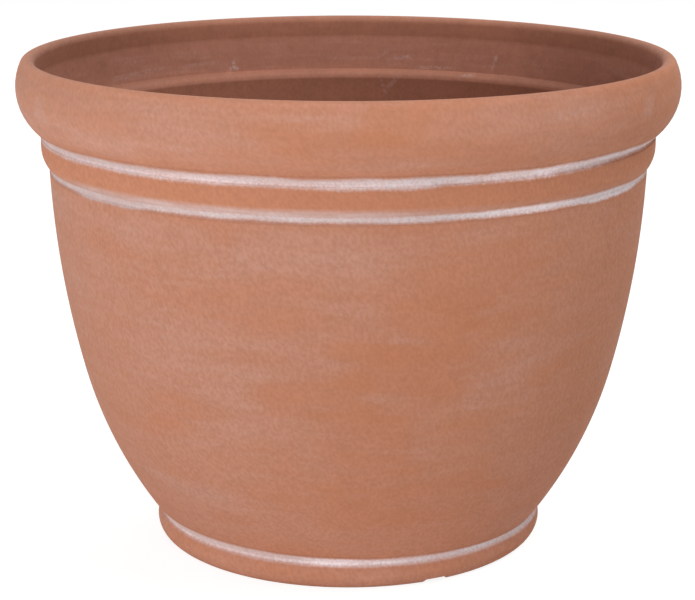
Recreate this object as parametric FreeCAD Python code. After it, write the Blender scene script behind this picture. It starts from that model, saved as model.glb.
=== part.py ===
import FreeCAD, Part
import math
import os

# A round, footed planter: one moulded shell and five rubber plugs in its drain holes.
# Millimetres, +Z up, with the origin on the ground in the middle of the foot ring.

# Overall size, nominally 16 inches across and 12 inches tall
pot_height = 304.8
rim_radius = 203.2

# Rolled rim: heights are measured down from the top, the overhang in from the widest place
rim_height = 44.3
rim_crest_drop = 17.3
rim_overhang = 13.5
lip_round = 4.6

# Groove between the rim and the band
neck_groove_height = 3.4
neck_groove_depth = 1.5

# Plain band below the rim, with a rounded lower edge
band_inset = 14.2
band_height = 6.0
band_round_height = 12.3
band_round_depth = 4.7

# Groove between the band and the bowl
waist_groove_height = 2.8
waist_groove_depth = 0.7

# Bowl: a gentle upper curve that leans in a little at the waist, and a fuller lower curve
waist_inset = 18.9
waist_lean_degrees = 2.1
bowl_curve_radius = 584.0
bowl_turn_height = 112.0
bowl_foot_radius = 121.5

# Groove between the bowl and the foot ring
foot_groove_height = 3.0
foot_groove_depth = 1.2

# Foot ring with a rounded face and a flat tread
foot_radius = 122.6
foot_height = 15.3
foot_crest_height = 9.6
foot_shoulder = 1.6
foot_undercut = 6.3
foot_tread = 9.0
foot_recess_round = 4.0

# Drain notches in the foot ring: two opposite pairs, angles from the front towards the right
notch_width = 16.0
notch_height = 2.8
notch_corner_round = 1.0
notch_angles_degrees = (26.5, 108.5, 206.5, 288.5)

# Inside of the mouth: an upright band, a crease, a band that leans in, and a rounded ledge
mouth_crease_drop = 13.5
mouth_ledge_drop = 36.5
mouth_lean = 3.5
mouth_ledge_width = 5.0
mouth_ledge_fall = 4.7

# Wall and floor
wall_thickness = 5.5
floor_thickness = 6.0
floor_cove_radius = 16.0

# Drain holes: one in the middle and four around it,
# each with its distance from the axis and its angle from the front towards the right
drain_hole_radius = 8.0
drain_ring_radius = 68.0
drain_places = {
    "centre": (0.0, 0.0),
    "front": (drain_ring_radius, 0.0),
    "right": (drain_ring_radius, 90.0),
    "back": (drain_ring_radius, 180.0),
    "left": (drain_ring_radius, 270.0),
}

# Rubber drain plugs: ribbed stem in the hole, flange on the floor, and a tab to pull
plug_fit_clearance = 0.1
plug_rib_depth = 0.5
plug_rib_width = 1.2
plug_nose_length = 3.0
plug_nose_taper = 1.2
plug_hollow_radius = 4.2
plug_hollow_roof = 3.0
plug_flange_radius = 13.0
plug_flange_thickness = 2.8
plug_flange_round = 0.9
plug_tab_width = 13.0
plug_tab_neck = 4.0
plug_tab_thickness = 4.0
plug_tab_round = 1.0

UP = FreeCAD.Vector(0, 0, 1)
DOWN = FreeCAD.Vector(0, 0, -1)
ORIGIN = FreeCAD.Vector(0, 0, 0)


def at(radius, level):
    """Point of an outline, in the plane that is turned about the vertical axis."""
    return FreeCAD.Vector(radius, 0, level)


def line(start, end):
    return Part.LineSegment(start, end).toShape()


def arc(start, middle, end):
    return Part.Arc(start, middle, end).toShape()


def tangent_arc(start, heading, end):
    """Arc that leaves start along heading and stops at end."""
    chord = end - start
    along = chord * (1 / chord.Length)
    sideways = heading - along * heading.dot(along)
    sagitta = chord.Length / 2 * math.tan(heading.getAngle(chord) / 2)
    return arc(start, start + chord * 0.5 + sideways * (sagitta / sideways.Length), end)


def heading_at_end(start, heading, end):
    """Heading with which the tangent arc from start reaches end."""
    chord = end - start
    along = chord * (1 / chord.Length)
    return along * (2 * heading.dot(along)) - heading


def groove(lower, upper, depth):
    """Round groove between two edges of the outside, sunk below the inner one of them."""
    bottom_radius = min(lower.x, upper.x) - depth
    return arc(lower, at(bottom_radius, (lower.z + upper.z) / 2), upper)


def inside(point, heading):
    """Point of the inner wall opposite a point of the bowl, where the outline heads down."""
    return point + FreeCAD.Vector(heading.z, 0, -heading.x) * wall_thickness


def turned(edges):
    """Solid of a closed outline turned about the vertical axis."""
    return Part.Face(Part.Wire(edges)).revolve(ORIGIN, UP, 360)


def put_in_direction(shape, radius, degrees):
    """Copy of a shape moved out from the axis, at an angle from the front towards the right."""
    copy = shape.copy()
    copy.translate(FreeCAD.Vector(0, -radius, 0))
    copy.rotate(ORIGIN, UP, degrees)
    return copy


# Levels of the neck, the band and the waist, from the top down
neck = at(rim_radius - rim_overhang, pot_height - rim_height)
band_top = at(rim_radius - band_inset, neck.z - neck_groove_height)
band_crest = band_top - at(0, band_height)
band_edge = band_crest - at(band_round_depth, band_round_height)
waist_level = band_edge.z - waist_groove_height

# Outer outline of the bowl, from the waist down to the foot groove
waist = at(rim_radius - waist_inset, waist_level)
lean = math.radians(waist_lean_degrees)
waist_heading = FreeCAD.Vector(-math.sin(lean), 0, -math.cos(lean))
bowl_centre = waist - at(math.cos(lean), -math.sin(lean)) * bowl_curve_radius
turn_rise = bowl_centre.z - bowl_turn_height
bowl_turn = at(bowl_centre.x + math.sqrt(bowl_curve_radius**2 - turn_rise**2), bowl_turn_height)
turn_heading = heading_at_end(waist, waist_heading, bowl_turn)
bowl_foot = at(bowl_foot_radius, foot_height + foot_groove_height)
foot_heading = heading_at_end(bowl_turn, turn_heading, bowl_foot)

# Inner wall of the bowl, and the cove that carries it into the floor
inner_waist = inside(waist, waist_heading)
inner_turn = inside(bowl_turn, turn_heading)
inner_foot = inside(bowl_foot, foot_heading)
cove_width = -foot_heading.z * floor_cove_radius
cove_drop = (1 + foot_heading.x) * floor_cove_radius
floor_edge = inner_foot - at(cove_width, cove_drop)
floor_level = floor_edge.z
underside_level = floor_level - floor_thickness


def foot_outline():
    """Underside of the floor, inside of the foot ring, its tread and its rounded face."""
    tread_outer = at(foot_radius - foot_undercut, 0)
    tread_inner = at(tread_outer.x - foot_tread, 0)
    recess_round = min(foot_recess_round, underside_level / 2)
    recess_side = at(tread_inner.x, underside_level - recess_round)
    recess_roof = at(tread_inner.x - recess_round, underside_level)
    crest = at(foot_radius, foot_crest_height)
    shoulder = at(foot_radius - foot_shoulder, foot_height)
    return [
        line(at(0, underside_level), recess_roof),
        tangent_arc(recess_side, UP, recess_roof),
        line(recess_side, tread_inner),
        line(tread_inner, tread_outer),
        tangent_arc(crest, DOWN, tread_outer),
        tangent_arc(crest, UP, shoulder),
        groove(shoulder, bowl_foot, foot_groove_depth),
    ]


def bowl_outline():
    """Outside of the bowl and of the band above it, up to the neck."""
    return [
        tangent_arc(bowl_turn, turn_heading, bowl_foot),
        tangent_arc(waist, waist_heading, bowl_turn),
        groove(waist, band_edge, waist_groove_depth),
        tangent_arc(band_crest, DOWN, band_edge),
        line(band_crest, band_top),
        groove(band_top, neck, neck_groove_depth),
    ]


def rim_outline():
    """Outside of the rolled rim, its full-round lip, and the bands and ledge inside the mouth."""
    crest = at(rim_radius, pot_height - rim_crest_drop)
    rim_round = (rim_overhang**2 + (crest.z - neck.z)**2) / (2 * rim_overhang)
    rim_centre = crest - at(rim_round, 0)
    lip_rise = pot_height - lip_round - crest.z
    lip_reach = math.sqrt((rim_round - lip_round)**2 - lip_rise**2)
    lip_centre = rim_centre + at(lip_reach, lip_rise)
    lip_outside = rim_centre + at(lip_reach, lip_rise) * (rim_round / (rim_round - lip_round))
    lip_inside = lip_centre - at(lip_round, 0)
    crease = at(lip_inside.x, pot_height - mouth_crease_drop)
    ledge_back = at(crease.x - mouth_lean, pot_height - mouth_ledge_drop)
    ledge_edge = ledge_back - at(mouth_ledge_width, mouth_ledge_fall)
    return [
        arc(neck, crest, lip_outside),
        arc(lip_outside, lip_centre + UP * lip_round, lip_inside),
        line(lip_inside, crease),
        line(crease, ledge_back),
        tangent_arc(ledge_edge, UP, ledge_back),
        line(ledge_edge, inner_waist),
    ]


def cavity_outline():
    """Inner wall of the bowl, the cove and the floor, back to the axis."""
    return [
        tangent_arc(inner_waist, waist_heading, inner_turn),
        tangent_arc(inner_turn, turn_heading, inner_foot),
        tangent_arc(inner_foot, foot_heading, floor_edge),
        line(floor_edge, at(0, floor_level)),
        line(at(0, floor_level), at(0, underside_level)),
    ]


def drain_notch():
    """Cutter for one notch with rounded upper corners, across the foot ring, at the front."""
    length = foot_undercut + foot_tread + foot_recess_round
    corner = FreeCAD.Vector(-notch_width / 2, -length / 2, -notch_height)
    block = Part.makeBox(notch_width, length, 2 * notch_height, corner)
    upper_edges = [e for e in block.Edges if e.BoundBox.ZMin > 0 and e.BoundBox.YLength > length / 2]
    return block.makeFillet(min(notch_corner_round, notch_height / 2), upper_edges)


def pot_shell():
    shell = turned(foot_outline() + bowl_outline() + rim_outline() + cavity_outline())
    hole_bottom = at(0, underside_level - floor_thickness / 2)
    hole = Part.makeCylinder(drain_hole_radius, 2 * floor_thickness, hole_bottom)
    for radius, degrees in drain_places.values():
        shell = shell.cut(put_in_direction(hole, radius, degrees))
    ring_middle = foot_radius - (foot_undercut + foot_tread) / 2
    for degrees in notch_angles_degrees:
        shell = shell.cut(put_in_direction(drain_notch(), ring_middle, degrees))
    return shell


def stem_outline(rib_radius, stem_radius):
    """Side of the plug's stem, from the floor down to its underside, with two round sealing ribs."""
    edges = []
    upper_end = at(stem_radius, floor_level)
    for share in (0.25, 0.75):
        crest = at(rib_radius, floor_level - share * floor_thickness)
        rib_top = at(stem_radius, crest.z + plug_rib_width / 2)
        rib_bottom = at(stem_radius, crest.z - plug_rib_width / 2)
        edges.append(line(upper_end, rib_top))
        edges.append(arc(rib_top, crest, rib_bottom))
        upper_end = rib_bottom
    edges.append(line(upper_end, at(stem_radius, underside_level)))
    return edges


def pull_tab():
    """Flat tab with a round head, standing on the plug's flange."""
    base = floor_level + plug_flange_thickness / 2
    neck_top = floor_level + plug_flange_thickness + plug_tab_neck
    half_width = plug_tab_width / 2
    outline = [
        line(at(-half_width, base), at(half_width, base)),
        line(at(half_width, base), at(half_width, neck_top)),
        arc(at(half_width, neck_top), at(0, neck_top + half_width), at(-half_width, neck_top)),
        line(at(-half_width, neck_top), at(-half_width, base)),
    ]
    tab = Part.Face(Part.Wire(outline)).extrude(FreeCAD.Vector(0, plug_tab_thickness, 0))
    tab.translate(FreeCAD.Vector(0, -plug_tab_thickness / 2, 0))
    flat_edges = [e for e in tab.Edges if e.BoundBox.YLength < plug_tab_thickness / 2]
    rims = [e for e in flat_edges if e.BoundBox.ZMax > (base + neck_top) / 2]
    return tab.makeFillet(min(plug_tab_round, plug_tab_thickness / 3), rims)


def drain_plug():
    """Plug on the axis, seated with its flange on the floor and hollow at its lower end."""
    rib_radius = drain_hole_radius - plug_fit_clearance
    stem_radius = rib_radius - plug_rib_depth
    flange_level = floor_level + plug_flange_thickness
    nose_level = underside_level - plug_nose_length
    roof_level = flange_level - plug_hollow_roof
    flange_round = min(plug_flange_round, plug_flange_thickness / 2)
    flange_top = at(plug_flange_radius - flange_round, flange_level)
    flange_side = at(plug_flange_radius, flange_level - flange_round)
    flange_seat = at(plug_flange_radius, floor_level)
    nose_edge = at(stem_radius - plug_nose_taper, nose_level)
    hollow_mouth = at(plug_hollow_radius, nose_level)
    hollow_roof = at(plug_hollow_radius, roof_level)
    outline = [
        line(at(0, flange_level), flange_top),
        tangent_arc(flange_side, UP, flange_top),
        line(flange_side, flange_seat),
        line(flange_seat, at(stem_radius, floor_level)),
    ]
    outline += stem_outline(rib_radius, stem_radius)
    outline += [
        line(at(stem_radius, underside_level), nose_edge),
        line(nose_edge, hollow_mouth),
        line(hollow_mouth, hollow_roof),
        line(hollow_roof, at(0, roof_level)),
        line(at(0, roof_level), at(0, flange_level)),
    ]
    return turned(outline).fuse(pull_tab()).removeSplitter()


os.makedirs("parts", exist_ok=True)
pot_shell().exportStep("parts/pot_shell.step")
for place, (radius, degrees) in drain_places.items():
    put_in_direction(drain_plug(), radius, degrees).exportStep(f"parts/{place}_drain_plug.step")
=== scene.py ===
import math

import bpy
import numpy as np
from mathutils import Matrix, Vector


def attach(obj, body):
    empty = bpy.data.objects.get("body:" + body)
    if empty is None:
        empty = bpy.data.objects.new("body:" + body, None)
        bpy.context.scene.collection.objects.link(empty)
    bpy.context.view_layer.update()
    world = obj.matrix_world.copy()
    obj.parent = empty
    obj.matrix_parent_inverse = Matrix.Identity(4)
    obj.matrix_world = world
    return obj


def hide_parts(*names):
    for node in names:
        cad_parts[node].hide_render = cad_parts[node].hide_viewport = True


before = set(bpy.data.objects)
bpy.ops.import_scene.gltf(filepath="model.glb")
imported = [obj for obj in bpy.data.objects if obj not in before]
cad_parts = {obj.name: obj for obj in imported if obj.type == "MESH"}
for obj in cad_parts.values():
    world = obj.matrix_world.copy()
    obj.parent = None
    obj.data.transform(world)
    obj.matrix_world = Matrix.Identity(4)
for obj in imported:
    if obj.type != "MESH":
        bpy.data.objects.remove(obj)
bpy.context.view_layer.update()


# Pot shell. The real pot is one hollow moulding of filled resin, coloured right through like terracotta.
# Its outline is turned about the upright axis, the four outer drain holes and the low notches under the
# foot ring are cut through it, and a thin white wash is wiped over the outside and left in the grooves.
turning_steps = 256
longest_straight = 0.012
longest_arc_step = 0.006
widest_arc_turn = math.radians(7)
corner_round = 0.0005
corner_segments = 3
corner_reach = 0.00005
outline_merge = 0.00002
seam_merge = 0.00001
start_plane_size = 0.01
widest_smooth_edge = math.radians(40)

# sizes of the pot, with drops measured from its top and insets from its widest place
pot_radius = 0.2032
pot_height = 0.3048
wall = 0.0055
floor_thickness = 0.006
floor_cove = 0.016
drain_hole_radius = 0.008
rim_height = 0.0443
rim_overhang = 0.0135
rim_crest_drop = 0.0173
lip_round = 0.0046
mouth_crease_drop = 0.0135
mouth_lean = 0.0035
ledge_drop = 0.0365
ledge_width = 0.005
ledge_fall = 0.0047
neck_groove_height = 0.0034
neck_groove_depth = 0.0015
band_inset = 0.0142
band_height = 0.006
band_round_height = 0.0123
band_round_depth = 0.0047
waist_groove_height = 0.0028
waist_groove_depth = 0.0007
waist_inset = 0.0189
waist_lean = math.radians(2.1)
bowl_curve_radius = 0.584
bowl_turn_height = 0.112
bowl_foot_radius = 0.1215
foot_groove_height = 0.003
foot_groove_depth = 0.0012
foot_radius = 0.1226
foot_height = 0.0153
foot_crest_height = 0.0096
foot_shoulder_width = 0.0016
foot_undercut = 0.0063
foot_tread = 0.009
foot_recess_round = 0.004
UP = math.radians(90)
OUTWARDS = 0.0


def bearing(start, end):
    """Direction from start to end, in the plane of the outline."""
    return math.atan2(end.y - start.y, end.x - start.x)


def straight(start, end):
    """Points of a straight run of the outline after start, up to and with end."""
    steps = max(1, math.ceil((end - start).length / longest_straight))
    return [start.lerp(end, step / steps) for step in range(1, steps + 1)]


def curve(start, end, heading=None, arrival=None):
    """Points of the arc after start, up to and with end, by its heading at start or its arrival at end."""
    aim = bearing(start, end)
    if heading is None:
        heading = 2 * aim - arrival
    turn = (aim - heading + math.pi) % math.tau - math.pi
    chord = (end - start).length
    length = chord * turn / math.sin(turn)
    steps = max(2, math.ceil(length / longest_arc_step), math.ceil(abs(2 * turn) / widest_arc_turn))
    points = []
    for step in range(1, steps + 1):
        part = turn * step / steps
        reach = chord * math.sin(part) / math.sin(turn)
        points.append(start + Vector((math.cos(heading + part), math.sin(heading + part))) * reach)
    return points


def groove(start, end, depth):
    """Points of a round groove that is sunk by depth into the outside of the pot."""
    half_turn = 2 * math.atan(2 * depth / (end - start).length)
    return curve(start, end, heading=bearing(start, end) + half_turn)


def inner_wall(point, heading):
    """Point of the inner wall opposite a point of the bowl, where the outline heads up."""
    return point + Vector((-math.sin(heading), math.cos(heading))) * wall


# band and bowl, from the neck down, with the heading of the outline where it goes up through them
neck = Vector((pot_radius - rim_overhang, pot_height - rim_height))
band_top = Vector((pot_radius - band_inset, neck.y - neck_groove_height))
band_crest = Vector((band_top.x, band_top.y - band_height))
band_edge = Vector((band_crest.x - band_round_depth, band_crest.y - band_round_height))
waist = Vector((pot_radius - waist_inset, band_edge.y - waist_groove_height))
bowl_centre = waist - Vector((math.cos(waist_lean), -math.sin(waist_lean))) * bowl_curve_radius
turn_reach = math.sqrt(bowl_curve_radius**2 - (bowl_centre.y - bowl_turn_height)**2)
bowl_turn = Vector((bowl_centre.x + turn_reach, bowl_turn_height))
bowl_foot = Vector((bowl_foot_radius, foot_height + foot_groove_height))
waist_heading = UP - waist_lean
turn_heading = 2 * bearing(bowl_turn, waist) - waist_heading
foot_heading = 2 * bearing(bowl_foot, bowl_turn) - turn_heading

# rolled rim, whose arc goes over into the smaller one of the lip, and the inside of the mouth
rim_crest = Vector((pot_radius, pot_height - rim_crest_drop))
rim_round = (rim_overhang**2 + (rim_crest.y - neck.y)**2) / (2 * rim_overhang)
rim_centre = Vector((rim_crest.x - rim_round, rim_crest.y))
rim_heading = bearing(rim_centre, neck) + UP
lip_rise = pot_height - lip_round - rim_centre.y
to_lip_centre = Vector((math.sqrt((rim_round - lip_round)**2 - lip_rise**2), lip_rise))
lip_outside = rim_centre + to_lip_centre * (rim_round / (rim_round - lip_round))
lip_inside = rim_centre + to_lip_centre - Vector((lip_round, 0))
mouth_crease = Vector((lip_inside.x, pot_height - mouth_crease_drop))
ledge_back = Vector((mouth_crease.x - mouth_lean, pot_height - ledge_drop))
ledge_edge = ledge_back - Vector((ledge_width, ledge_fall))

# inner wall, and the cove that carries it into the floor
inner_waist = inner_wall(waist, waist_heading)
inner_turn = inner_wall(bowl_turn, turn_heading)
inner_foot = inner_wall(bowl_foot, foot_heading)
floor_edge = inner_foot - Vector((math.sin(foot_heading), 1 - math.cos(foot_heading))) * floor_cove
floor_level = floor_edge.y
underside_level = floor_level - floor_thickness

# foot ring, with its flat tread
tread_outer = Vector((foot_radius - foot_undercut, 0))
tread_inner = Vector((tread_outer.x - foot_tread, 0))
foot_recess_side = Vector((tread_inner.x, underside_level - foot_recess_round))
foot_recess_roof = Vector((tread_inner.x - foot_recess_round, underside_level))
foot_crest = Vector((foot_radius, foot_crest_height))
foot_shoulder = Vector((foot_radius - foot_shoulder_width, foot_height))

# the whole outline, round from the middle drain hole
hole_bottom = Vector((drain_hole_radius, underside_level))
hole_top = Vector((drain_hole_radius, floor_level))
outline = [hole_bottom]
outline += straight(hole_bottom, foot_recess_roof)
outline += curve(foot_recess_roof, foot_recess_side, heading=OUTWARDS)
outline += straight(foot_recess_side, tread_inner)
outline += straight(tread_inner, tread_outer)
outline += curve(tread_outer, foot_crest, arrival=UP)
outline += curve(foot_crest, foot_shoulder, heading=UP)
outline += groove(foot_shoulder, bowl_foot, foot_groove_depth)
outline += curve(bowl_foot, bowl_turn, arrival=turn_heading)
outline += curve(bowl_turn, waist, arrival=waist_heading)
outline += groove(waist, band_edge, waist_groove_depth)
outline += curve(band_edge, band_crest, arrival=UP)
outline += straight(band_crest, band_top)
outline += groove(band_top, neck, neck_groove_depth)
outline += curve(neck, lip_outside, heading=rim_heading)
outline += curve(lip_outside, lip_inside, arrival=-UP)
outline += straight(lip_inside, mouth_crease)
outline += straight(mouth_crease, ledge_back)
outline += curve(ledge_back, ledge_edge, arrival=-UP)
outline += straight(ledge_edge, inner_waist)
outline += curve(inner_waist, inner_turn, heading=waist_heading - math.pi)
outline += curve(inner_turn, inner_foot, heading=turn_heading - math.pi)
outline += curve(inner_foot, floor_edge, heading=foot_heading - math.pi)
outline += straight(floor_edge, hole_top)
outline += straight(hole_top, hole_bottom)
mould_corners = (
    tread_inner, tread_outer, foot_shoulder, bowl_foot, waist, band_edge,
    band_top, neck, mouth_crease, ledge_back,
)

# the outline is drawn from a single point, its mould corners are rounded, and it is turned about the axis
bpy.ops.object.select_all(action="DESELECT")
bpy.ops.mesh.primitive_plane_add(size=start_plane_size)
shell = bpy.context.object
shell.name = shell.data.name = "turned_pot"
bpy.ops.object.mode_set(mode="EDIT")
bpy.ops.mesh.select_all(action="SELECT")
bpy.ops.mesh.merge(type="CENTER")
bpy.ops.transform.translate(value=(outline[0].x, 0, outline[0].y))
for before, after in zip(outline, outline[1:]):
    step = after - before
    bpy.ops.mesh.extrude_vertices_move(TRANSFORM_OT_translate={"value": (step.x, 0, step.y)})
bpy.ops.mesh.select_all(action="SELECT")
bpy.ops.mesh.remove_doubles(threshold=outline_merge)
bpy.ops.mesh.select_all(action="DESELECT")
bpy.ops.object.mode_set(mode="OBJECT")
for vertex in shell.data.vertices:
    place = Vector((vertex.co.x, vertex.co.z))
    vertex.select = any((place - corner).length < corner_reach for corner in mould_corners)
bpy.ops.object.mode_set(mode="EDIT")
bpy.ops.mesh.bevel(affect="VERTICES", offset=corner_round, segments=corner_segments)
bpy.ops.mesh.select_all(action="SELECT")
bpy.ops.mesh.spin(steps=turning_steps, angle=math.tau, center=(0, 0, 0), axis=(0, 0, 1))
bpy.ops.mesh.select_all(action="SELECT")
bpy.ops.mesh.remove_doubles(threshold=seam_merge)
bpy.ops.mesh.normals_make_consistent(inside=False)
bpy.ops.object.mode_set(mode="OBJECT")

# the outer drain holes and the notches are cut with drills and blocks, at angles from the front to the right
drain_ring_radius = 0.068
drain_degrees = (0, 90, 180, 270)
drill_sides = 48
drill_length = 0.02
drill_middle = floor_level - floor_thickness / 2
notch_ring_radius = foot_radius - (foot_undercut + foot_tread) / 2
notch_width = 0.016
notch_height = 0.0028
notch_length = foot_undercut + foot_tread + foot_recess_round
notch_corner_round = 0.001
notch_corner_segments = 4
notch_degrees = (26.5, 108.5, 206.5, 288.5)


def round_the_axis(radius, degrees, level):
    """Point at a distance from the axis, by its angle from the front towards the right."""
    turn = math.radians(degrees)
    return radius * math.sin(turn), -radius * math.cos(turn), level


cutters = []
for degrees in drain_degrees:
    bpy.ops.object.select_all(action="DESELECT")
    bpy.ops.mesh.primitive_cylinder_add(
        vertices=drill_sides,
        radius=drain_hole_radius,
        depth=drill_length,
        location=round_the_axis(drain_ring_radius, degrees, drill_middle),
    )
    cutters.append(bpy.context.object)

for degrees in notch_degrees:
    bpy.ops.object.select_all(action="DESELECT")
    bpy.ops.mesh.primitive_cube_add(size=1, scale=(notch_width, notch_length, 2 * notch_height))
    cutter = bpy.context.object
    bpy.ops.object.mode_set(mode="EDIT")
    bpy.ops.mesh.select_all(action="DESELECT")
    bpy.ops.object.mode_set(mode="OBJECT")
    for edge in cutter.data.edges:
        ends = [cutter.data.vertices[index].co for index in edge.vertices]
        edge.select = min(end.z for end in ends) > 0 and ends[0].y * ends[1].y < 0
    bpy.ops.object.mode_set(mode="EDIT")
    bpy.ops.mesh.select_mode(type="EDGE")
    bpy.ops.mesh.bevel(offset=notch_corner_round, segments=notch_corner_segments)
    bpy.ops.mesh.select_mode(type="VERT")
    bpy.ops.object.mode_set(mode="OBJECT")
    cutter.rotation_euler.z = math.radians(degrees)
    cutter.location = round_the_axis(notch_ring_radius, degrees, 0)
    cutters.append(cutter)

bpy.ops.object.select_all(action="DESELECT")
for cutter in cutters:
    cutter.select_set(True)
bpy.context.view_layer.objects.active = cutters[0]
bpy.ops.object.join()
bpy.ops.object.transform_apply(location=True, rotation=True, scale=True)
bpy.ops.object.select_all(action="DESELECT")
shell.select_set(True)
bpy.context.view_layer.objects.active = shell
cut = shell.modifiers.new("cut", "BOOLEAN")
cut.operation = "DIFFERENCE"
cut.solver = "EXACT"
cut.object = cutters[0]
bpy.ops.object.modifier_apply(modifier=cut.name)
bpy.data.objects.remove(cutters[0])
bpy.ops.object.shade_smooth_by_angle(angle=widest_smooth_edge)

# level, and how far the middle of the wall is from the axis there: what lies further out takes the wash
wall_middle = (
    (0.0, 0.1118), (0.015, 0.113), (0.03, 0.1258), (0.06, 0.1437), (0.1, 0.16), (0.15, 0.1719),
    (0.2, 0.179), (0.236, 0.1815), (0.2625, 0.1868), (0.2683, 0.1922), (0.291, 0.1968), (0.2995, 0.1957),
)
lip_fade = 0.004
spots = np.empty(len(shell.data.vertices) * 3)
shell.data.vertices.foreach_get("co", spots)
spots = spots.reshape(-1, 3)
radii = np.hypot(spots[:, 0], spots[:, 1])
beyond_middle = radii - np.interp(spots[:, 2], *zip(*wall_middle))
outside = shell.data.attributes.new("outside", "FLOAT", "POINT")
outside.data.foreach_set("value", np.clip(beyond_middle / lip_fade + 0.5, 0, 1).astype(np.float32))


def shader_node(tree, kind, sockets=None, **settings):
    """New node with its settings, and with values or links in its sockets."""
    made = tree.nodes.new("ShaderNode" + kind)
    for name, value in settings.items():
        setattr(made, name, value)
    for socket, value in (sockets or {}).items():
        if isinstance(value, bpy.types.NodeSocket):
            tree.links.new(value, made.inputs[socket])
        else:
            made.inputs[socket].default_value = value
    return made


def reckon(tree, operation, first, second=0.0, third=0.0):
    """Result of one sum, such as ADD or MULTIPLY."""
    return shader_node(tree, "Math", {0: first, 1: second, 2: third}, operation=operation).outputs[0]


def fade(tree, value, start, end, low=0.0, high=1.0):
    """Goes smoothly from low to high while value goes from start to end."""
    sockets = {"Value": value, "From Min": start, "From Max": end, "To Min": low, "To Max": high}
    return shader_node(tree, "MapRange", sockets, interpolation_type="SMOOTHSTEP").outputs["Result"]


def between(tree, value, begins, full, still_full, ends):
    """One while value goes from full to still_full, fading to nothing on both sides."""
    rising = fade(tree, value, begins, full)
    return reckon(tree, "MULTIPLY", rising, fade(tree, value, ends, still_full))


def blended(tree, share, first, second):
    """Number between first and second."""
    return shader_node(tree, "Mix", {0: share, 2: first, 3: second}, data_type="FLOAT").outputs[0]


def mixed(tree, share, first, second):
    """Colour between first and second."""
    return shader_node(tree, "Mix", {0: share, 6: first, 7: second}, data_type="RGBA").outputs[2]


def stretched(tree, vector, scale):
    """Coordinates with each axis times its own scale."""
    return shader_node(tree, "VectorMath", {0: vector, 1: scale}, operation="MULTIPLY").outputs[0]


def length_of(tree, vector):
    """Distance of a point from the middle of its coordinates."""
    return shader_node(tree, "VectorMath", {0: vector}, operation="LENGTH").outputs["Value"]


def mottle(tree, vector, scale, detail, roughness=0.5):
    """Cloudy value about 0.5."""
    sockets = {"Vector": vector, "Scale": scale, "Detail": detail, "Roughness": roughness}
    return shader_node(tree, "TexNoise", sockets).outputs["Fac"]


def level_ramp(tree, level, stops):
    """Colour, or grey value, that goes from stop to stop as the level rises."""
    lowest, highest = stops[0][0], stops[-1][0]
    sockets = {"Value": level, "From Min": lowest, "From Max": highest}
    ramp = shader_node(tree, "ValToRGB", {"Fac": shader_node(tree, "MapRange", sockets).outputs["Result"]})
    elements = ramp.color_ramp.elements
    while len(elements) < len(stops):
        elements.new(1.0)
    for element, (height, value) in zip(elements, stops):
        element.position = (height - lowest) / (highest - lowest)
        element.color = value if isinstance(value, tuple) else (value, value, value, 1)
    return ramp.outputs["Color"]


def scaled(tree, colour, factor):
    """Colour made lighter or darker by a factor."""
    return shader_node(tree, "VectorMath", {0: colour, "Scale": factor}, operation="SCALE").outputs[0]


def effect_group(name, inputs, outputs):
    """Empty node group with its named number inputs and outputs, and the coordinates of the piece."""
    group = bpy.data.node_groups.new(name, "ShaderNodeTree")
    for label, value in inputs.items():
        socket = group.interface.new_socket(label, in_out="INPUT", socket_type="NodeSocketFloat")
        socket.default_value = value
    for label in outputs:
        group.interface.new_socket(label, in_out="OUTPUT", socket_type="NodeSocketFloat")
    given = group.nodes.new("NodeGroupInput").outputs
    result = group.nodes.new("NodeGroupOutput").inputs
    place = group.nodes.new("ShaderNodeTexCoord").outputs["Object"]
    return group, given, result, place


# sand in the mould's face: grains that stand a little aslant, and a few that stick out and catch the wash
sandy_grain, given, result, place = effect_group(
    "sandy_grain", {"Grains": 480.0, "Lean": 1.1}, ("Grain", "Specks")
)
level = shader_node(sandy_grain, "SeparateXYZ", {0: place}).outputs["Z"]
lean = reckon(sandy_grain, "MULTIPLY", level, given["Lean"])
sockets = {"Vector": place, "Angle": lean}
aslant = shader_node(sandy_grain, "VectorRotate", sockets, rotation_type="Z_AXIS").outputs[0]
aslant = stretched(sandy_grain, aslant, (1, 1, 0.78))
grains = mottle(sandy_grain, aslant, given["Grains"], 1.25)
sandy_grain.links.new(fade(sandy_grain, grains, 0.2, 0.8), result["Grain"])
specks = mottle(sandy_grain, place, given["Grains"], 1.0)
sandy_grain.links.new(fade(sandy_grain, specks, 0.56, 0.72), result["Specks"])

# strokes of a wiping cloth: level rows that run into each other, with upright ends
wiped_strokes, given, result, place = effect_group(
    "wiped_strokes", {"Row": 0.02, "Strokes": 12.0, "Sway": 0.03}, ("Stroke",)
)
level = shader_node(wiped_strokes, "SeparateXYZ", {0: place}).outputs["Z"]
sway = reckon(wiped_strokes, "MULTIPLY", mottle(wiped_strokes, place, 7.0, 1.0), given["Sway"])
rows = reckon(wiped_strokes, "DIVIDE", reckon(wiped_strokes, "ADD", level, sway), given["Row"])
row_values = []
for shift in (0.0, 0.5):
    row = reckon(wiped_strokes, "FLOOR", reckon(wiped_strokes, "ADD", rows, shift))
    chance = shader_node(wiped_strokes, "TexWhiteNoise", {"W": row}, noise_dimensions="1D").outputs["Value"]
    sockets = {"Vector": place, "Angle": reckon(wiped_strokes, "MULTIPLY", chance, math.tau)}
    turned = shader_node(wiped_strokes, "VectorRotate", sockets, rotation_type="Z_AXIS").outputs[0]
    upright = stretched(wiped_strokes, turned, (1, 1, 0))
    row_values.append(mottle(wiped_strokes, upright, given["Strokes"], 1.5))
share = reckon(wiped_strokes, "MULTIPLY", reckon(wiped_strokes, "PINGPONG", rows, 0.5), 2.0)
wiped_strokes.links.new(blended(wiped_strokes, share, row_values[1], row_values[0]), result["Stroke"])


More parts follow.
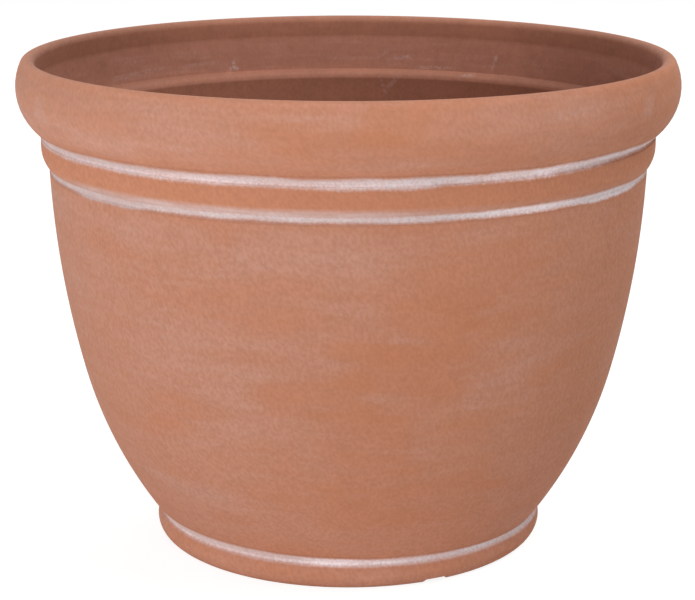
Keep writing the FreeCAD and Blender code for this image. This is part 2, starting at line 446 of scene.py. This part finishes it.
def stroke(tree, row, strokes, sway):
    """Wiping strokes, by the height of a row, how many there are to a metre, and how far the row sways."""
    sockets = {"Row": row, "Strokes": strokes, "Sway": sway}
    return shader_node(tree, "Group", sockets, node_tree=wiped_strokes).outputs["Stroke"]


# dry haze of the wash: broad clouds, wide and narrow strokes and fine streaks
wiped_haze, given, result, place = effect_group("wiped_haze", {"Cover": 0.5}, ("Haze", "Streaks"))
clouds = mottle(wiped_haze, stretched(wiped_haze, place, (8, 8, 14)), 1.0, 2.0)
wide = blended(wiped_haze, 0.5, clouds, stroke(wiped_haze, 0.024, 10.0, 0.03))
narrow = stroke(wiped_haze, 0.009, 13.0, 0.02)
narrow = blended(wiped_haze, 0.45, narrow, stroke(wiped_haze, 0.0034, 16.0, 0.01))
together = blended(wiped_haze, 0.55, wide, narrow)
shifted = reckon(wiped_haze, "ADD", together, given["Cover"])
wiped_haze.links.new(fade(wiped_haze, shifted, 0.69, 1.31), result["Haze"])
wiped_haze.links.new(fade(wiped_haze, narrow, 0.47, 0.60, 0.10, 0.75), result["Streaks"])

# one place on the wall, by its turn from the front, with edges that the caller makes ragged
wall_place, given, result, place = effect_group(
    "wall_place",
    {"Turn": 0.0, "Level": 0.2, "Lean": 0.0, "Half width": 0.03, "Half height": 0.02, "Ragged": 0.0},
    ("Mask",),
)
spot = shader_node(wall_place, "SeparateXYZ", {0: place}).outputs
turn = reckon(wall_place, "ARCTAN2", spot["X"], reckon(wall_place, "MULTIPLY", spot["Y"], -1.0))
radius = length_of(wall_place, stretched(wall_place, place, (1, 1, 0)))
along = reckon(wall_place, "MULTIPLY", reckon(wall_place, "SUBTRACT", turn, given["Turn"]), radius)
up = reckon(wall_place, "SUBTRACT", spot["Z"], given["Level"])
cosine, sine = reckon(wall_place, "COSINE", given["Lean"]), reckon(wall_place, "SINE", given["Lean"])
across = reckon(
    wall_place, "ADD",
    reckon(wall_place, "MULTIPLY", along, cosine), reckon(wall_place, "MULTIPLY", up, sine),
)
upwards = reckon(
    wall_place, "SUBTRACT",
    reckon(wall_place, "MULTIPLY", up, cosine), reckon(wall_place, "MULTIPLY", along, sine),
)
across = reckon(wall_place, "DIVIDE", reckon(wall_place, "ABSOLUTE", across), given["Half width"])
upwards = reckon(wall_place, "DIVIDE", reckon(wall_place, "ABSOLUTE", upwards), given["Half height"])
across = fade(wall_place, reckon(wall_place, "ADD", across, given["Ragged"]), 1.3, 0.6)
upwards = fade(wall_place, reckon(wall_place, "ADD", upwards, given["Ragged"]), 1.4, 0.3)
wall_place.links.new(reckon(wall_place, "MULTIPLY", across, upwards), result["Mask"])


def patch(tree, degrees, level, half_width, half_height, lean_degrees=0.0, ragged=0.0):
    """Mask of one place on the wall, by its angle from the front towards the right."""
    sockets = {
        "Turn": math.radians(degrees), "Level": level, "Lean": math.radians(lean_degrees),
        "Half width": half_width, "Half height": half_height, "Ragged": ragged,
    }
    return shader_node(tree, "Group", sockets, node_tree=wall_place).outputs["Mask"]


# wash left standing in a groove: full between two levels, with edges that wander and crumble on their own,
# and next to it a painted shade along the groove's edges, where the rim and the groove's lips shade it
# how far the painted shade at each edge of the wash reaches into it and past it
shade_under_wash = 0.0012
shade_past_wash = 0.0014
wash_line, given, result, place = effect_group(
    "wash_line",
    {
        "Bottom": 0.0, "Full from": 0.001, "Full to": 0.003, "Top": 0.004, "Ragged": 0.001,
        "Shift": 0.0, "Sag": 0.0, "Dark above": 1.0, "Dark below": 1.0,
    },
    ("Wash", "Painted shade"),
)
level = shader_node(wash_line, "SeparateXYZ", {0: place}).outputs["Z"]
level = reckon(wash_line, "SUBTRACT", level, given["Shift"])
crumbs = mottle(wash_line, place, 520, 2.0)
edge_levels = []
for wander, share in ((24, 0.5), (31, 0.3)):
    drift = mottle(wash_line, stretched(wash_line, place, (wander, wander, 0)), 1.0, 3.0)
    unevenness = reckon(wash_line, "SUBTRACT", blended(wash_line, share, drift, crumbs), 0.5)
    edge_levels.append(reckon(wash_line, "MULTIPLY_ADD", unevenness, given["Ragged"], level))
sagging = reckon(wash_line, "ADD", edge_levels[0], given["Sag"])
lower = fade(wash_line, sagging, given["Bottom"], given["Full from"])
upper = fade(wash_line, edge_levels[1], given["Top"], given["Full to"])
pitted = fade(wash_line, mottle(wash_line, place, 640, 2.0), 0.3, 0.66, 0.72, 1.0)
rows = stretched(wash_line, place, (26, 26, 240))
worn = fade(wash_line, mottle(wash_line, rows, 1.0, 2.0), 0.3, 0.62, 0.80, 1.02)
line = reckon(wash_line, "MULTIPLY", lower, upper)
line = reckon(wash_line, "MULTIPLY", line, reckon(wash_line, "MULTIPLY", pitted, worn))
wash_line.links.new(line, result["Wash"])
below = reckon(wash_line, "SUBTRACT", given["Bottom"], level)
above = reckon(wash_line, "SUBTRACT", level, given["Top"])
# painted shade in a thin band along each edge of the wash, broken up by the crumbs
groove_shade = 0.0
for distance, amount in ((below, given["Dark below"]), (above, given["Dark above"])):
    edge = between(wash_line, distance, -shade_under_wash, 0, 0, shade_past_wash)
    groove_shade = reckon(wash_line, "MULTIPLY_ADD", edge, amount, groove_shade)
wash_line.links.new(reckon(wash_line, "MULTIPLY", groove_shade, crumbs), result["Painted shade"])

bare_resin = (0.520, 0.208, 0.112, 1)
hazed_resin = (0.540, 0.280, 0.208, 1)
# colour of the painted shade along the groove lines
painted_shade_resin = (0.30, 0.125, 0.080, 1)
white_wash = (0.84, 0.745, 0.76, 1)
haze_sides = (-0.10, 0.12)
haze_left, haze_right = 0.51, 0.41
# level, and the share of the haze that is left there
haze_by_level = (
    (0.000, 1.00), (0.013, 1.00), (0.021, 0.70), (0.032, 1.00), (0.228, 1.00), (0.2345, 0.70), (0.243, 0.24),
    (0.2605, 0.26), (0.2660, 0.74), (0.2710, 1.00), (0.2960, 1.00), (0.3015, 0.76), (0.3048, 0.70),
)
# level, and the painted light and shade of the outside there, from dark at 0 to pale at 1: painted light on
# the foot and the band, painted shade on the middle of the bowl, and a painted highlight along the top of the
# lip
light_and_shade_by_level = (
    (0.000, 0.76), (0.012, 0.78), (0.022, 0.58), (0.060, 0.38), (0.130, 0.34), (0.200, 0.42),
    (0.236, 0.50), (0.244, 0.68), (0.256, 0.68), (0.266, 0.66), (0.277, 0.64), (0.290, 0.60),
    (0.2995, 0.58), (0.3030, 0.80), (0.3040, 0.94), (0.3048, 0.98),
)
# degrees from the front, level, half width, half height, and how much more or less haze there is
rubbed_places = (
    (-8, 0.220, 0.038, 0.014, 0.09),
    (-36, 0.226, 0.038, 0.015, 0.11),
    (22, 0.200, 0.034, 0.024, -0.04),
    (15, 0.177, 0.028, 0.015, -0.15),
    (31, 0.171, 0.030, 0.010, -0.07),
    (13, 0.150, 0.046, 0.022, -0.11),
    (-4, 0.137, 0.034, 0.015, -0.14),
    (2, 0.106, 0.026, 0.013, -0.11),
    (-36, 0.113, 0.028, 0.014, -0.09),
    (15, 0.066, 0.055, 0.018, -0.10),
    (29, 0.134, 0.022, 0.014, 0.09),
    (24, 0.163, 0.034, 0.003, 0.08),
    (-38, 0.061, 0.030, 0.006, 0.08),
    (8, 0.295, 0.022, 0.012, -0.09),
    (-3, 0.281, 0.038, 0.010, -0.10),
    (32, 0.295, 0.045, 0.010, 0.09),
    (-41, 0.274, 0.032, 0.007, 0.14),
    (57, 0.289, 0.006, 0.006, 0.22),
    (-60, 0.285, 0.008, 0.008, 0.16),
)
# level, and the colour of the bare resin inside, with painted light and shade: a painted highlight on the
# ledge that faces up, and painted shade on the wall below it and on the upright band under the lip
inner_colour_light_and_shade = (
    (0.2300, (0.425, 0.178, 0.112, 1)),
    (0.2622, (0.415, 0.174, 0.109, 1)),
    (0.2636, (0.675, 0.310, 0.212, 1)),
    (0.2656, (0.645, 0.294, 0.200, 1)),
    (0.2680, (0.525, 0.230, 0.154, 1)),
    (0.2892, (0.515, 0.225, 0.150, 1)),
    (0.2922, (0.430, 0.181, 0.113, 1)),
    (0.3010, (0.445, 0.188, 0.118, 1)),
    (0.3048, (0.560, 0.255, 0.170, 1)),
)
# degrees from the front, level, lean in degrees, half width, half height, and strength
inner_scuffs = (
    (-154.6, 0.2730, 35, 0.0013, 0.0060, 0.15),
    (-155.4, 0.2712, 0, 0.0020, 0.0014, 0.30),
    (-147.0, 0.2752, 86, 0.0015, 0.0160, 0.07),
    (-131.0, 0.2738, 88, 0.0016, 0.0240, 0.07),
    (147.6, 0.2766, 15, 0.0013, 0.0060, 0.15),
    (153.2, 0.2668, 85, 0.0010, 0.0050, 0.16),
    (161.0, 0.2705, 88, 0.0012, 0.0160, 0.13),
    (168.5, 0.2765, 80, 0.0014, 0.0100, 0.10),
    (172.5, 0.2790, 60, 0.0012, 0.0060, 0.09),
    (170.2, 0.2595, 40, 0.0016, 0.0090, 0.07),
    (172.3, 0.2580, -25, 0.0014, 0.0075, 0.06),
)
# distance to the right of the axis, and how white the wash is there: partly the wash's own unevenness, and
# partly painted light a little right of the middle, where the rim shades the grooves, and painted shade
# towards the left
wash_and_painted_light_by_side = (
    (-0.190, 0.72), (-0.125, 0.77), (-0.090, 0.89), (0.000, 0.87), (0.055, 0.86),
    (0.090, 1.12), (0.110, 1.12), (0.135, 0.95), (0.190, 0.90),
)
# degrees from the front, level, half width, half height, and how far the wash sags
thick_places = (
    (4, 0.2570, 0.034, 0.010, 0.0010),
    (-48, 0.2370, 0.030, 0.010, 0.0014),
    (56, 0.2370, 0.030, 0.010, 0.0012),
)
# levels at which each of these begins, is full, is still full, and ends
smear_over_band = (0.2388, 0.2402, 0.2414, 0.2458)
neck_groove_bottom = (0.2565, 0.2572, 0.2578, 0.2590)
scuffed_mouth = (0.268, 0.272, 0.284, 0.292)
# levels between which the finish goes over to that of the foot and of the rim
foot_levels = (0.06, 0.03)
rim_levels = (0.256, 0.268)
# clouds to a metre, and how far each size of them changes the colour
colour_clouds = ((150, 0.022), (62, 0.016))


def bare_material(name):
    """New material with an empty node tree."""
    material = bpy.data.materials.new(name)
    material.use_nodes = True
    material.node_tree.nodes.clear()
    return material, material.node_tree


terracotta, tree = bare_material("washed_terracotta")
place = shader_node(tree, "TexCoord").outputs["Object"]
spot = shader_node(tree, "SeparateXYZ", {0: place}).outputs
level, sideways = spot["Z"], spot["X"]
outer = shader_node(tree, "Attribute", attribute_name="outside").outputs["Fac"]
sand = shader_node(tree, "Group", {"Grains": 480, "Lean": 1.1}, node_tree=sandy_grain).outputs
grain = sand["Grain"]

# on the bowl the wash is wiped thinner towards one side, and here and there it is rubbed off or left thicker
ragged = blended(tree, 0.5, stroke(tree, 0.006, 20.0, 0.02), stroke(tree, 0.015, 12.0, 0.02))
ragged = reckon(tree, "MULTIPLY", reckon(tree, "SUBTRACT", ragged, 0.5), 4.0)
cover = fade(tree, sideways, *haze_sides, haze_left, haze_right)
for degrees, middle, half_width, half_height, lift in rubbed_places:
    rubbed = patch(tree, degrees, middle, half_width, half_height, ragged=ragged)
    cover = reckon(tree, "MULTIPLY_ADD", rubbed, lift, cover)
haze = shader_node(tree, "Group", {"Cover": cover}, node_tree=wiped_haze).outputs
hazy = reckon(tree, "MULTIPLY", haze["Haze"], level_ramp(tree, level, haze_by_level))
gritty = fade(tree, grain, 0.0, 1.0, 0.80, 1.14)
caught = reckon(tree, "MULTIPLY_ADD", sand["Specks"], haze["Streaks"], gritty)
outer_colour = mixed(tree, reckon(tree, "MULTIPLY", hazy, caught), bare_resin, hazed_resin)

# the grooves hold the wash, whiter towards one side, partly from painted light, and with painted light along
# the bottom of the neck groove on the left, where the groove lies in shade; above the waist it is smeared up
# over the band's edge
sag = 0.0
for degrees, middle, half_width, half_height, depth in thick_places:
    thick = patch(tree, degrees, middle, half_width, half_height)
    sag = reckon(tree, "MULTIPLY_ADD", thick, depth, sag)
groove_lines = (
    {
        "Bottom": 0.2554, "Full from": 0.2588, "Full to": 0.2606, "Top": 0.2636, "Ragged": 0.0046,
        "Shift": fade(tree, sideways, 0.11, 0.17, 0.0, 0.0018),
        "Sag": reckon(tree, "ADD", sag, fade(tree, sideways, 0.06, -0.10, 0.0, 0.0008)),
        "Dark above": 0.9, "Dark below": 0.1,
    },
    {
        "Bottom": 0.2354, "Full from": 0.2378, "Full to": 0.2392, "Top": 0.2418, "Ragged": 0.0032,
        "Shift": 0.0, "Dark above": 0.4, "Dark below": 0.9,
    },
    {
        "Bottom": 0.0136, "Full from": 0.0166, "Full to": 0.0188, "Top": 0.0216, "Ragged": 0.0026,
        "Shift": reckon(tree, "MULTIPLY", sideways, -0.024),
        "Sag": reckon(tree, "MULTIPLY", sideways, -0.018),
        "Dark above": 0.9, "Dark below": 0.0,
    },
)
smear = between(tree, level, *smear_over_band)
smear = reckon(tree, "MULTIPLY", smear, fade(tree, sideways, 0.10, -0.04, 0.06, 0.66))
smear = reckon(tree, "MULTIPLY", smear, fade(tree, sideways, -0.170, -0.136, 0.15, 1.0))
wash = reckon(tree, "MULTIPLY", smear, fade(tree, stroke(tree, 0.0014, 30.0, 0.001), 0.34, 0.62, 0.65, 1.0))
groove_shade = 0.0
for sockets in groove_lines:
    line = shader_node(tree, "Group", {"Sag": sag, **sockets}, node_tree=wash_line).outputs
    wash = reckon(tree, "MAXIMUM", wash, line["Wash"])
    groove_shade = reckon(tree, "ADD", groove_shade, line["Painted shade"])
low = fade(tree, level, *foot_levels)
front = reckon(tree, "MULTIPLY", low, fade(tree, reckon(tree, "ABSOLUTE", sideways), 0.045, 0.005))
fullness = reckon(tree, "MULTIPLY_ADD", front, 0.24, fade(tree, sideways, -0.03, 0.10, 0.89, 1.05))
wash = reckon(tree, "MULTIPLY", wash, fullness)
wash = reckon(tree, "MINIMUM", wash, 1.0)
# painted shade: the outside goes darker along the edges of the groove lines, where the rim and the grooves
# shade them
outer_colour = mixed(tree, reckon(tree, "MULTIPLY", groove_shade, 0.55), outer_colour, painted_shade_resin)
# the wash's whiteness by side, with painted light and painted shade in it
by_side = level_ramp(tree, sideways, wash_and_painted_light_by_side)
whiteness = blended(tree, low, by_side, fade(tree, front, 0.0, 1.0, 0.95, 1.06))
# painted light at the bottom of the neck groove, on the left, that lightens the shade there
groove_bottom_light = between(tree, level, *neck_groove_bottom)
groove_bottom_light = reckon(tree, "MULTIPLY", groove_bottom_light, fade(tree, sideways, 0.09, 0.02, 0.0, 0.2))
whiteness = reckon(tree, "MULTIPLY_ADD", whiteness, groove_bottom_light, whiteness)
whiter = scaled(tree, white_wash[:3], whiteness)
outer_colour = mixed(tree, wash, outer_colour, whiter)
# painted light and shade by level: the outside is made lighter or darker by how the light falls at each
# height
painted_light_and_shade = fade(tree, level_ramp(tree, level, light_and_shade_by_level), 0.0, 1.0, 0.90, 1.10)
outer_colour = scaled(tree, outer_colour, painted_light_and_shade)

# inside, the resin is bare, with painted light and shade by level and towards the sides, dried runs of wash
# and pale scuffs near the mouth
streaks = stroke(tree, 0.0022, 22.0, 0.004)
streaky = fade(tree, streaks, 0.45, 0.7)
near_mouth = between(tree, level, *scuffed_mouth)
scuffed = reckon(tree, "MULTIPLY", reckon(tree, "MULTIPLY", streaky, near_mouth), 0.05)
for degrees, middle, aslant, half_width, half_height, strength in inner_scuffs:
    scuff = patch(tree, degrees, middle, half_width, half_height, lean_degrees=aslant)
    scuffed = reckon(tree, "MULTIPLY_ADD", scuff, strength, scuffed)
flecks = fade(tree, mottle(tree, place, 560, 2.0), 0.38, 0.64, 0.25, 1.7)
scuffed = reckon(tree, "MULTIPLY", scuffed, flecks)
inner_colour = mixed(tree, scuffed, level_ramp(tree, level, inner_colour_light_and_shade), white_wash)
# painted shade: the inside goes darker towards the left and right sides
painted_shade_towards_sides = fade(tree, reckon(tree, "ABSOLUTE", sideways), 0.09, 0.17, 1.0, 0.82)
inner_colour = scaled(tree, inner_colour, painted_shade_towards_sides)

# inside and outside meet at the lip, and the sand shows in both, less of it on the rim
colour = mixed(tree, outer, inner_colour, outer_colour)
on_rim = fade(tree, level, *rim_levels)
sandy = fade(tree, on_rim, 0.0, 1.0, 0.108, 0.076)
speckle = reckon(tree, "MULTIPLY_ADD", reckon(tree, "SUBTRACT", grain, 0.5), sandy, 1.0)
wiped = fade(tree, streaks, 0.3, 0.7, -0.026, 0.026)
uneven = fade(tree, outer, 0.0, 1.0, 2.0, 1.0)
speckle = reckon(tree, "MULTIPLY_ADD", wiped, on_rim, speckle)
for scale, spread in colour_clouds:
    cloudy = fade(tree, mottle(tree, place, scale, 2.0), 0.25, 0.75, -spread, spread)
    speckle = reckon(tree, "MULTIPLY_ADD", cloudy, uneven, speckle)
colour = scaled(tree, colour, speckle)
bump = shader_node(tree, "Bump", {"Strength": 0.15, "Distance": 0.0003, "Height": grain}).outputs["Normal"]
roughness = fade(tree, grain, 0.0, 1.0, 0.92, 0.8)
surface = shader_node(
    tree, "BsdfPrincipled",
    {"Base Color": colour, "Roughness": roughness, "Normal": bump, "Specular IOR Level": 0.25},
)
shader_node(tree, "OutputMaterial", {"Surface": surface.outputs["BSDF"]})
shell.data.materials.append(terracotta)
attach(shell, "pot")
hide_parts("pot_shell")


# Drain plugs. Five soft rubber stoppers, each moulded in one piece and pushed down into its hole from inside.
# Their CAD shape is kept. The rubber is dull black, with a dusty bloom and a fine cast face.
black_rubber = (0.028, 0.027, 0.027, 1)
dusty_rubber = (0.095, 0.082, 0.072, 1)

rubber, tree = bare_material("dull_rubber")
place = shader_node(tree, "TexCoord").outputs["Object"]
grain = shader_node(tree, "Group", {"Grains": 1300, "Lean": 0.0}, node_tree=sandy_grain).outputs["Grain"]
bloom = fade(tree, mottle(tree, place, 130, 3.0, 0.6), 0.42, 0.68)
dust = reckon(tree, "MULTIPLY", bloom, fade(tree, grain, 0.2, 0.9))
colour = mixed(tree, dust, black_rubber, dusty_rubber)
bump = shader_node(tree, "Bump", {"Strength": 0.3, "Distance": 0.0002, "Height": grain}).outputs["Normal"]
roughness = fade(tree, bloom, 0.0, 1.0, 0.55, 0.8)
surface = shader_node(
    tree, "BsdfPrincipled",
    {"Base Color": colour, "Roughness": roughness, "Normal": bump, "Specular IOR Level": 0.35},
)
shader_node(tree, "OutputMaterial", {"Surface": surface.outputs["BSDF"]})
for side in ("centre", "front", "right", "back", "left"):
    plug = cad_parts[side + "_drain_plug"]
    plug.data.materials.clear()
    plug.data.materials.append(rubber)


# Floor. A plain pale sheet that runs on past the picture on all sides.
# To the camera it is white where nothing shades it, it keeps a faint soft shadow of the pot,
# and under the pot, where an open drain hole shows it, it is as dark as the shade there.
floor_size = 14
floor_paint = (0.86, 0.86, 0.86, 1)
seen_paint = (0.32, 0.32, 0.32, 1)
white = (1, 1, 1, 1)
floor_whiteness = 0.87
shaded_radius = 0.084
open_radius = 0.092


def seen_white(tree):
    """One for the rays that show the floor or the room: from the camera, in a reflection or through glass."""
    rays = shader_node(tree, "LightPath").outputs
    in_shine = reckon(tree, "MAXIMUM", rays["Is Glossy Ray"], rays["Is Transmission Ray"])
    return reckon(tree, "MAXIMUM", rays["Is Camera Ray"], in_shine)


bpy.ops.object.select_all(action="DESELECT")
bpy.ops.mesh.primitive_plane_add(size=floor_size)
floor = bpy.context.object
floor.name = floor.data.name = "floor"
paint, tree = bare_material("pale_floor")
matt = shader_node(tree, "BsdfDiffuse", {"Color": floor_paint}).outputs[0]
seen_matt = shader_node(tree, "BsdfDiffuse", {"Color": seen_paint}).outputs[0]
place = shader_node(tree, "TexCoord").outputs["Object"]
past_the_pot = fade(tree, length_of(tree, place), shaded_radius, open_radius)
underside = shader_node(tree, "NewGeometry").outputs["Backfacing"]
in_the_open = reckon(tree, "MAXIMUM", past_the_pot, underside)
whiteness = reckon(tree, "MULTIPLY", in_the_open, floor_whiteness)
lift = shader_node(tree, "Emission", {"Color": white, "Strength": whiteness}).outputs[0]
lifted = shader_node(tree, "AddShader", {0: seen_matt, 1: lift}).outputs[0]
surface = shader_node(tree, "MixShader", {0: seen_white(tree), 1: matt, 2: lifted}).outputs[0]
shader_node(tree, "OutputMaterial", {"Surface": surface})
floor.data.materials.append(paint)


# Studio light. A white room all round, a broad soft lamp low at the left front, one high at the right
# that reaches into the pot, a weak one at the left for the edge there, and one high behind for the back.
room_strength = 0.36
backdrop_strength = 1.0
lamp_aim = Vector((0, 0, 0.15))

world = bpy.data.worlds.new("white_room")
bpy.context.scene.world = world
world.use_nodes = True
tree = world.node_tree
tree.nodes.clear()
room = shader_node(tree, "Background", {"Color": white, "Strength": room_strength}).outputs[0]
backdrop = shader_node(tree, "Background", {"Color": white, "Strength": backdrop_strength}).outputs[0]
surface = shader_node(tree, "MixShader", {0: seen_white(tree), 1: room, 2: backdrop}).outputs[0]
shader_node(tree, "OutputWorld", {"Surface": surface})


def soft_lamp(name, place, width, height, power):
    """Area lamp that faces the middle of the pot."""
    bpy.ops.object.select_all(action="DESELECT")
    bpy.ops.object.light_add(type="AREA", location=place)
    lamp = bpy.context.object
    lamp.name = name
    lamp.data.shape = "RECTANGLE"
    lamp.data.size = width
    lamp.data.size_y = height
    lamp.data.energy = power
    lamp.rotation_euler = (lamp_aim - Vector(place)).to_track_quat("-Z", "Y").to_euler()


soft_lamp("left_lamp", place=(-1.195, -2.07, 0.32), width=1.2, height=0.5, power=23.6)
soft_lamp("right_lamp", place=(1.04, -0.6, 2.23), width=1.2, height=1.2, power=22.5)
soft_lamp("edge_lamp", place=(-2.33, 0.41, 0.32), width=1.2, height=0.5, power=4.8)
soft_lamp("back_lamp", place=(0, 1.97, 1.53), width=1.2, height=1.2, power=11)


# Camera. It stands in front of the pot and a little above it, as the photograph was taken.
camera_distance = 1.2902
camera_height = 0.4752
camera_pitch = math.radians(14.25)
camera_offset = -0.0005
camera_sensor = 36
camera_lens = 108.9
level_view = math.radians(90)

bpy.ops.object.camera_add(location=(camera_offset, -camera_distance, camera_height))
camera = bpy.context.object
camera.name = "camera"
camera.rotation_euler = (level_view - camera_pitch, 0, 0)
camera.data.sensor_width = camera_sensor
camera.data.lens = camera_lens
bpy.context.scene.camera = camera
bpy.context.scene.view_settings.view_transform = "Standard"
